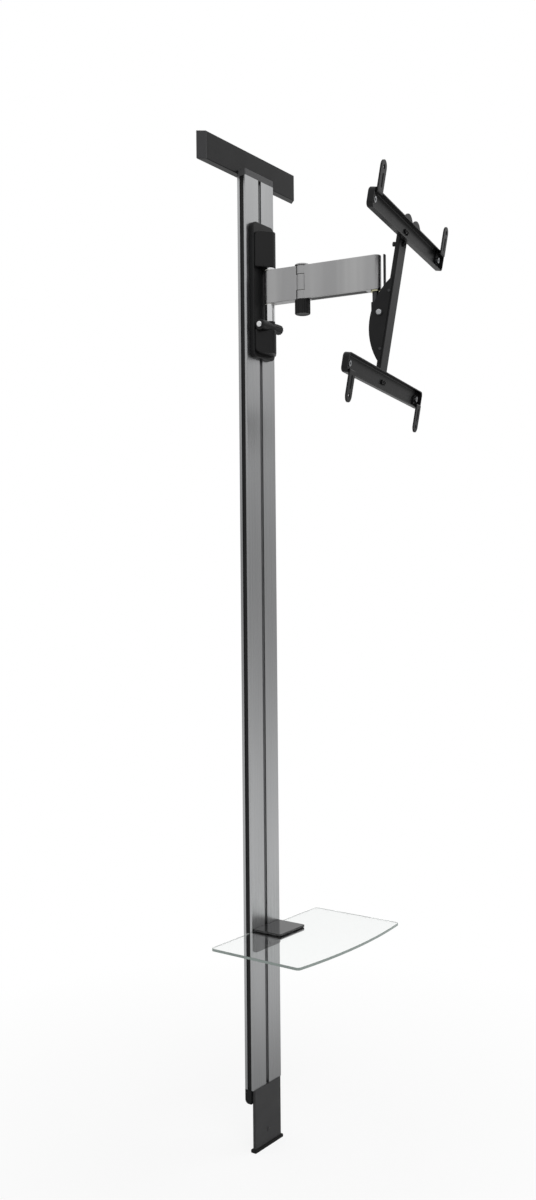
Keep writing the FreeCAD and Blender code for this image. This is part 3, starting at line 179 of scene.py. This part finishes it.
# Foot: a moulded plug in the column's lower end, a dark steel plate screwed to it, and a rubber shoe
# pressed on the plate's lower edge and held by one screw.
foot_paint = finish(
    "foot_paint", colour=(0.034, 0.034, 0.035), rough=(0.38, 0.52), shine=0.35,
    blot=(0.0011, 0.0011, 0.0011), depth=0.000008, edge=0.0005,
)
cloud(foot_paint, size=(0.03, 0.03, 0.03), low=(0.032, 0.032, 0.033), high=(0.038, 0.038, 0.039))

rubber = finish(
    "foot_rubber", colour=(0.007, 0.007, 0.007), rough=(0.64, 0.82), shine=0.25,
    blot=(0.0009, 0.0009, 0.0009), detail=4.0, depth=0.00003, edge=0.0005,
)

black_steel = finish(
    "blackened_steel", colour=(0.06, 0.06, 0.062), metallic=1.0, rough=(0.33, 0.48),
    blot=(0.0008, 0.0008, 0.0008), depth=0.00001, edge=0.0003,
)

dress(moulded_black, "foot_plug")
dress(foot_paint, "foot_plate", "foot_pad_screw_and_nut")
dress(rubber, "foot_pad")
dress(black_steel, "foot_screws")

# Shelf: a clear glass pane with polished, faintly green edges, clamped on rubber pads
# between an angle bracket below and a black plate above. Two screws come up through it in nylon sleeves.
glass_face = (0.945, 0.96, 0.952)
glass_rim = (0.40, 0.47, 0.44)
rim_flatness = 0.75
face_flatness = 0.98
rim_clearness = 0.35
face_clearness = 1.0
glass, shader = start_material("shelf_glass", glass_face, metallic=0.0, roughness=0.0)
shader.inputs["IOR"].default_value = 1.5
tree = glass.node_tree
facing = tree.nodes.new("ShaderNodeNewGeometry")
parts_of_normal = tree.nodes.new("ShaderNodeSeparateXYZ")
flatness = tree.nodes.new("ShaderNodeMath")
flatness.operation = "ABSOLUTE"
tree.links.new(facing.outputs["True Normal"], parts_of_normal.inputs["Vector"])
tree.links.new(parts_of_normal.outputs["Z"], flatness.inputs[0])
flat = flatness.outputs["Value"]
clear = shader.inputs["Transmission Weight"]
tint(tree, flat, rim_flatness, face_flatness, glass_rim, glass_face)
carry(tree, flat, rim_flatness, face_flatness, rim_clearness, face_clearness, clear)
dress(glass, "shelf_glass")

nylon = finish(
    "nylon", colour=(0.70, 0.69, 0.64), rough=(0.38, 0.52),
    blot=(0.0008, 0.0008, 0.0008), depth=0.00001, edge=0.0002,
)

gloss_black = finish(
    "gloss_black", colour=(0.006, 0.006, 0.0063), rough=(0.11, 0.18),
    blot=(0.004, 0.004, 0.004), depth=0.000008, edge=0.0004,
)

dress(powder_black, "shelf_bracket")
dress(gloss_black, "shelf_clamp_plate")
dress(rubber, "shelf_pads")
dress(nylon, "glass_bushes")
dress(zinc, "shelf_clamp_screws")
dress(black_steel, "shelf_screws_and_nuts")

# Carriage: a cast black plate that slides on the column, with two bearing housings for the arm's pin.
# The pin, its spacers and the clamp bolt are chromed.
cast_black = finish(
    "cast_black", colour=(0.005, 0.005, 0.0053), rough=(0.35, 0.46), shine=0.28,
    blot=(0.0014, 0.0014, 0.0014), detail=3.0, depth=0.000016, edge=0.0006,
)

chrome = finish(
    "chrome", colour=(0.72, 0.725, 0.73), metallic=1.0, rough=(0.06, 0.13),
    blot=(0.003, 0.003, 0.003), depth=0.000004, edge=0.0003,
)

dress(cast_black, "carriage_plate", "upper_bearing_housing", "lower_bearing_housing")
dress(zinc, "housing_screws", "carriage_screws_and_nuts")
dress(chrome, "shoulder_pin", "shoulder_spacers", "clamp_bolt")
dress(nylon, "shoulder_washers")

# Clamp knob: a moulded black grip with rounded flutes, screwed on the end of the clamp bolt.
# It is turned by hand to fix the carriage's height.
steps_per_flute = 12
arc_steps = 7
wall_rows = 9
wall_end_share = 1.6
bore_chamfer = 0.0006
dish_depth = 0.0006
dish_rim_share = 0.62
dish_floor_share = 0.56
dish_middle_share = 0.2


def arc(centre_radius, centre_place, size, start, end):
    """Part of a circle in a knob's profile, as (radius, place along the axis) rows between two angles."""
    angle = np.linspace(start, end, arc_steps)
    return np.stack([centre_radius + size * np.cos(angle), centre_place + size * np.sin(angle)], axis=1)


def fluted_grip(name, radius, length, bore, bore_depth, rim, flutes, flute_depth, axes, start):
    """A profile carried round an axis: the radius at a turn is the profile's radius less a flute, which is
    flute_depth times the square of half (1 + cos(flutes * turn)), fading out over both rims and in the bore.
    axes holds the axis and two directions across it, and start the point where the axis enters the grip."""
    turns = flutes * steps_per_flute
    quarter = math.pi / 2.0
    wall_top = length - wall_end_share * rim
    dish_floor = length - dish_depth
    profile = np.concatenate([
        [[bore, bore_depth], [bore, bore_chamfer], [bore + bore_chamfer, 0.0]],
        arc(radius - rim / 2.0, rim / 2.0, rim / 2.0, -quarter, 0.0),
        np.stack([np.full(wall_rows, radius), np.linspace(rim, wall_top, wall_rows)], axis=1),
        arc(radius - rim, length - rim, rim, 0.0, quarter),
        [[radius * dish_rim_share, length], [radius * dish_floor_share, dish_floor],
         [radius * dish_middle_share, dish_floor]],
    ])
    fade = np.clip((profile[:, 0] - radius + rim) / rim, 0.0, 1.0)
    turn = np.linspace(0.0, 2.0 * math.pi, turns, endpoint=False)
    flute = (0.5 + 0.5 * np.cos(flutes * turn)) ** 2
    reach = profile[:, 0, None] - flute_depth * fade[:, None] * flute[None, :]
    axis, side, up = np.array(axes)
    ring = np.cos(turn)[:, None] * side + np.sin(turn)[:, None] * up
    points = reach[:, :, None] * ring[None] + profile[:, 1, None, None] * axis + np.array(start)
    poles = np.array([profile[0, 1] * axis, profile[-1, 1] * axis]) + np.array(start)
    count = len(profile)
    index = np.arange(count * turns).reshape(count, turns)
    after = np.roll(index, -1, axis=1)
    walls = np.stack([index[:-1], after[:-1], after[1:], index[1:]], axis=-1).reshape(-1, 4)
    bore_end = np.stack([after[0], index[0], np.full(turns, count * turns)], axis=-1)
    front = np.stack([index[-1], after[-1], np.full(turns, count * turns + 1)], axis=-1)
    mesh = bpy.data.meshes.new(name)
    mesh.from_pydata(np.concatenate([points.reshape(-1, 3), poles]).tolist(), [],
                     walls.tolist() + bore_end.tolist() + front.tolist())
    mesh.polygons.foreach_set("use_smooth", np.ones(len(mesh.polygons), bool))
    grip = bpy.data.objects.new(name, mesh)
    bpy.context.scene.collection.objects.link(grip)
    return grip


low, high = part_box("clamp_knob")
middle = (np.array(low) + np.array(high)) / 2.0
clamp_grip = fluted_grip(
    "clamp_grip", radius=0.010, length=0.026, bore=0.00405, bore_depth=0.0213, rim=0.002, flutes=12,
    flute_depth=0.0009, axes=((1.0, 0.0, 0.0), (0.0, 1.0, 0.0), (0.0, 0.0, 1.0)),
    start=(low[0], middle[1], middle[2]),
)
clamp_grip.data.materials.append(moulded_black)
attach(clamp_grip, "clamp_knob")
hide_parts("clamp_knob")

# Arm: two aluminium links brushed upright, with painted reflection bands in their colour,
# and hinged at the elbow on a bolt with a round cap.
# The long link is hollow below for cables, and a black strip closes it.
arm_turn = (0.0, 0.0, math.radians(12.0))
brushed = finish(
    "brushed_link_painted_bands", colour=(0.42, 0.42, 0.42), metallic=1.0, rough=(0.35, 0.45),
    blot=(0.0004, 0.0004, 0.05), depth=0.000003, edge=0.0004, turn=arm_turn,
)
# Soft upright bands of lighter and darker colour along the links: painted reflection bands.
cloud(brushed, size=(0.03, 0.03, 0.8), low=(0.37, 0.37, 0.373), high=(0.47, 0.47, 0.47), turn=arm_turn)
dress(brushed, "inner_link", "outer_link", "elbow_bolt")
dress(nylon, "shoulder_bushes", "elbow_washers", "elbow_bushes", "swivel_bushes")
dress(moulded_black, "arm_cable_cover")

# Elbow knob: a moulded black grip with fine flutes under the elbow. It screws on the elbow bolt
# and sets the hinge's tension.
low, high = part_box("elbow_knob")
middle = (np.array(low) + np.array(high)) / 2.0
elbow_grip = fluted_grip(
    "elbow_grip", radius=0.0155, length=0.028, bore=0.00505, bore_depth=0.0233, rim=0.0025, flutes=20,
    flute_depth=0.0007, axes=((0.0, 0.0, -1.0), (1.0, 0.0, 0.0), (0.0, -1.0, 0.0)),
    start=(middle[0], middle[1], high[2]),
)
elbow_grip.data.materials.append(moulded_black)
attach(elbow_grip, "elbow_knob")
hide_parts("elbow_knob")

# Head swivel: a blackened shaft under the arm's end, a pale brass thrust washer and a black cast bracket
# whose barrel carries the tilt bolt.
brass = finish(
    "brass", colour=(0.52, 0.50, 0.34), metallic=1.0, rough=(0.24, 0.38),
    blot=(0.001, 0.001, 0.001), depth=0.00001, edge=0.0003,
)
dress(brass, "swivel_washer")
dress(black_steel, "swivel_shaft")
dress(zinc, "shaft_retainer")
dress(cast_black, "swivel_bracket")
dress(nylon, "friction_washers")

# Head frame: a black steel channel with two half-moon tilt cheeks riveted to it, and two pressed trays
# bolted across it.
dress(powder_black, "head_spine", "tilt_cheek_left", "tilt_cheek_right", "top_bar", "bottom_bar")
dress(powder_black, "bar_bolts_and_nuts")
dress(black_steel, "cheek_rivets", "tilt_nut_and_washers")
dress(zinc, "tilt_bolt", "finger_bolts_and_nuts")

# Fingers: stepped black steel strips, pressed and powder coated like the trays.
# They turn on bolts at the tray ends and take the television's screws.
dress(powder_black, "finger_top_left", "finger_top_right", "finger_bottom_left", "finger_bottom_right")

# Floor: a wide pale sheet that stays white to the eye and through glass, and takes a faint shadow round
# the foot. Shiny surfaces mirror a glow in its place with painted shade: darker round the foot as a
# painted shadow, and darker far away.
floor_reach = 30.0
floor_grey = (0.86, 0.86, 0.86)
pure_white = (1.0, 1.0, 1.0, 1.0)
shadow_reach = (0.3, 1.2)
white_share = (0.85, 1.0)
mirror_reach = 12.0
painted_shade_mirror_levels = ((0.3, 0.40), (0.5, 0.50), (0.9, 0.74), (2.0, 0.94), (4.0, 0.92), (7.0, 0.74), (12.0, 0.45))

floor_mesh = bpy.data.meshes.new("floor")
across, along = np.meshgrid(np.linspace(-1.0, 1.0, 2), np.linspace(-1.0, 1.0, 2))
corners = np.stack([across.ravel() * floor_reach, along.ravel() * floor_reach, np.zeros(4)], axis=1)
floor_mesh.from_pydata(corners.tolist(), [], [(0, 1, 3, 2)])
floor = bpy.data.objects.new("floor", floor_mesh)
bpy.context.scene.collection.objects.link(floor)


def larger(tree, first, second):
    """The larger of two values."""
    step = tree.nodes.new("ShaderNodeMath")
    step.operation = "MAXIMUM"
    tree.links.new(first, step.inputs[0])
    tree.links.new(second, step.inputs[1])
    return step.outputs["Value"]


def mix(tree, share, first, second):
    """Two shaders mixed by a share of the second."""
    blend = tree.nodes.new("ShaderNodeMixShader")
    tree.links.new(share, blend.inputs["Fac"])
    tree.links.new(first, blend.inputs[1])
    tree.links.new(second, blend.inputs[2])
    return blend.outputs["Shader"]


floor_paint, shader = start_material("floor_paint", floor_grey, metallic=0.0, roughness=0.9)
tree = floor_paint.node_tree
glow = tree.nodes.new("ShaderNodeEmission")
glow.inputs["Color"].default_value = pure_white
glow.inputs["Strength"].default_value = 1.0
path = tree.nodes.new("ShaderNodeLightPath")
place = tree.nodes.new("ShaderNodeTexCoord")
distance = tree.nodes.new("ShaderNodeVectorMath")
distance.operation = "LENGTH"
tree.links.new(place.outputs["Object"], distance.inputs[0])
share = tree.nodes.new("ShaderNodeMath")
share.operation = "MULTIPLY"
eye = larger(tree, path.outputs["Is Camera Ray"], path.outputs["Is Transmission Ray"])
tree.links.new(eye, share.inputs[0])
carry(tree, distance.outputs["Value"], *shadow_reach, *white_share, share.inputs[1])

far = tree.nodes.new("ShaderNodeMath")
far.operation = "DIVIDE"
far.inputs[1].default_value = mirror_reach
level = tree.nodes.new("ShaderNodeValToRGB")
for number, (metres, strength) in enumerate(painted_shade_mirror_levels):
    stops = level.color_ramp.elements
    stop = stops[number] if number < len(stops) else stops.new(1.0)
    stop.position = metres / mirror_reach
    stop.color = (strength, strength, strength, 1.0)
# The glow that shiny surfaces see in the floor's place: a painted reflection, with painted shade round the
# foot and far away.
mirrored = tree.nodes.new("ShaderNodeEmission")
mirrored.inputs["Strength"].default_value = 1.0
tree.links.new(distance.outputs["Value"], far.inputs[0])
tree.links.new(far.outputs["Value"], level.inputs["Fac"])
tree.links.new(level.outputs["Color"], mirrored.inputs["Color"])

shiny = mix(tree, path.outputs["Is Glossy Ray"], shader.outputs["BSDF"], mirrored.outputs["Emission"])
seen = mix(tree, share.outputs["Value"], shiny, glow.outputs["Emission"])
tree.links.new(seen, tree.nodes["Material Output"].inputs["Surface"])
floor_mesh.materials.append(floor_paint)

# Surround: an even white studio, white to the eye and through glass. Its mirror image is darker
# near the horizon, which gives the aluminium its shading.
ambient_strength = 0.55
horizon_rise = (0.04, 0.36)
mirror_strength = (0.36, 1.06)

world = bpy.data.worlds.new("surround")
bpy.context.scene.world = world
world.use_nodes = True
tree = world.node_tree
ambient = tree.nodes["Background"]
ambient.inputs["Color"].default_value = pure_white
ambient.inputs["Strength"].default_value = ambient_strength
white = tree.nodes.new("ShaderNodeBackground")
white.inputs["Color"].default_value = pure_white
white.inputs["Strength"].default_value = 1.0
mirrored = tree.nodes.new("ShaderNodeBackground")
mirrored.inputs["Color"].default_value = pure_white
direction = tree.nodes.new("ShaderNodeTexCoord")
rise = tree.nodes.new("ShaderNodeSeparateXYZ")
tree.links.new(direction.outputs["Generated"], rise.inputs["Vector"])
carry(tree, rise.outputs["Z"], *horizon_rise, *mirror_strength, mirrored.inputs["Strength"])
path = tree.nodes.new("ShaderNodeLightPath")
eye = larger(tree, path.outputs["Is Camera Ray"], path.outputs["Is Transmission Ray"])
gloss = path.outputs["Is Glossy Ray"]
shiny = mix(tree, gloss, ambient.outputs["Background"], mirrored.outputs["Background"])
seen = mix(tree, eye, shiny, white.outputs["Background"])
tree.links.new(seen, tree.nodes["World Output"].inputs["Surface"])

# Lamps: two large soft boxes in front of the column, one on each side. Each row has a name, a place,
# the point that it faces, the box's side in metres and the power in watts.
lamps = (
    ("key_softbox", (-1.7, -2.3, 2.7), (0.0, -0.1, 1.2), 1.6, 34.0),
    ("fill_softbox", (2.4, -1.8, 2.4), (0.0, -0.1, 1.4), 1.8, 26.0),
)
for name, place, aim, size, power in lamps:
    lamp_data = bpy.data.lights.new(name, "AREA")
    lamp_data.size = size
    lamp_data.energy = power
    lamp = bpy.data.objects.new(name, lamp_data)
    bpy.context.scene.collection.objects.link(lamp)
    toward = np.array(aim) - np.array(place)
    lamp.visible_glossy = False
    lamp.visible_transmission = False
    lamp.location = place
    lamp.rotation_euler = (
        math.acos(-toward[2] / np.linalg.norm(toward)),
        0.0,
        math.atan2(toward[1], toward[0]) - math.pi / 2.0,
    )

# Camera: at the photograph's viewing angle, nearly level, a little over two metres from the column
# and turned a touch about its own axis.
view_place = (-1.81266, -1.37099, 1.0871)
view_turn = math.radians(-53.18)
view_rise = math.radians(0.258)
view_roll = math.radians(0.519)
camera_data = bpy.data.cameras.new("camera")
camera_data.sensor_fit = "VERTICAL"
camera_data.sensor_height = 36.0
camera_data.lens = 33.73
camera_data.clip_start = 0.05
camera = bpy.data.objects.new("camera", camera_data)
bpy.context.scene.collection.objects.link(camera)
camera.location = view_place
camera.rotation_euler = (math.pi / 2.0 + view_rise, view_roll, view_turn)
bpy.context.scene.camera = camera

bpy.context.scene.view_settings.view_transform = "Standard"
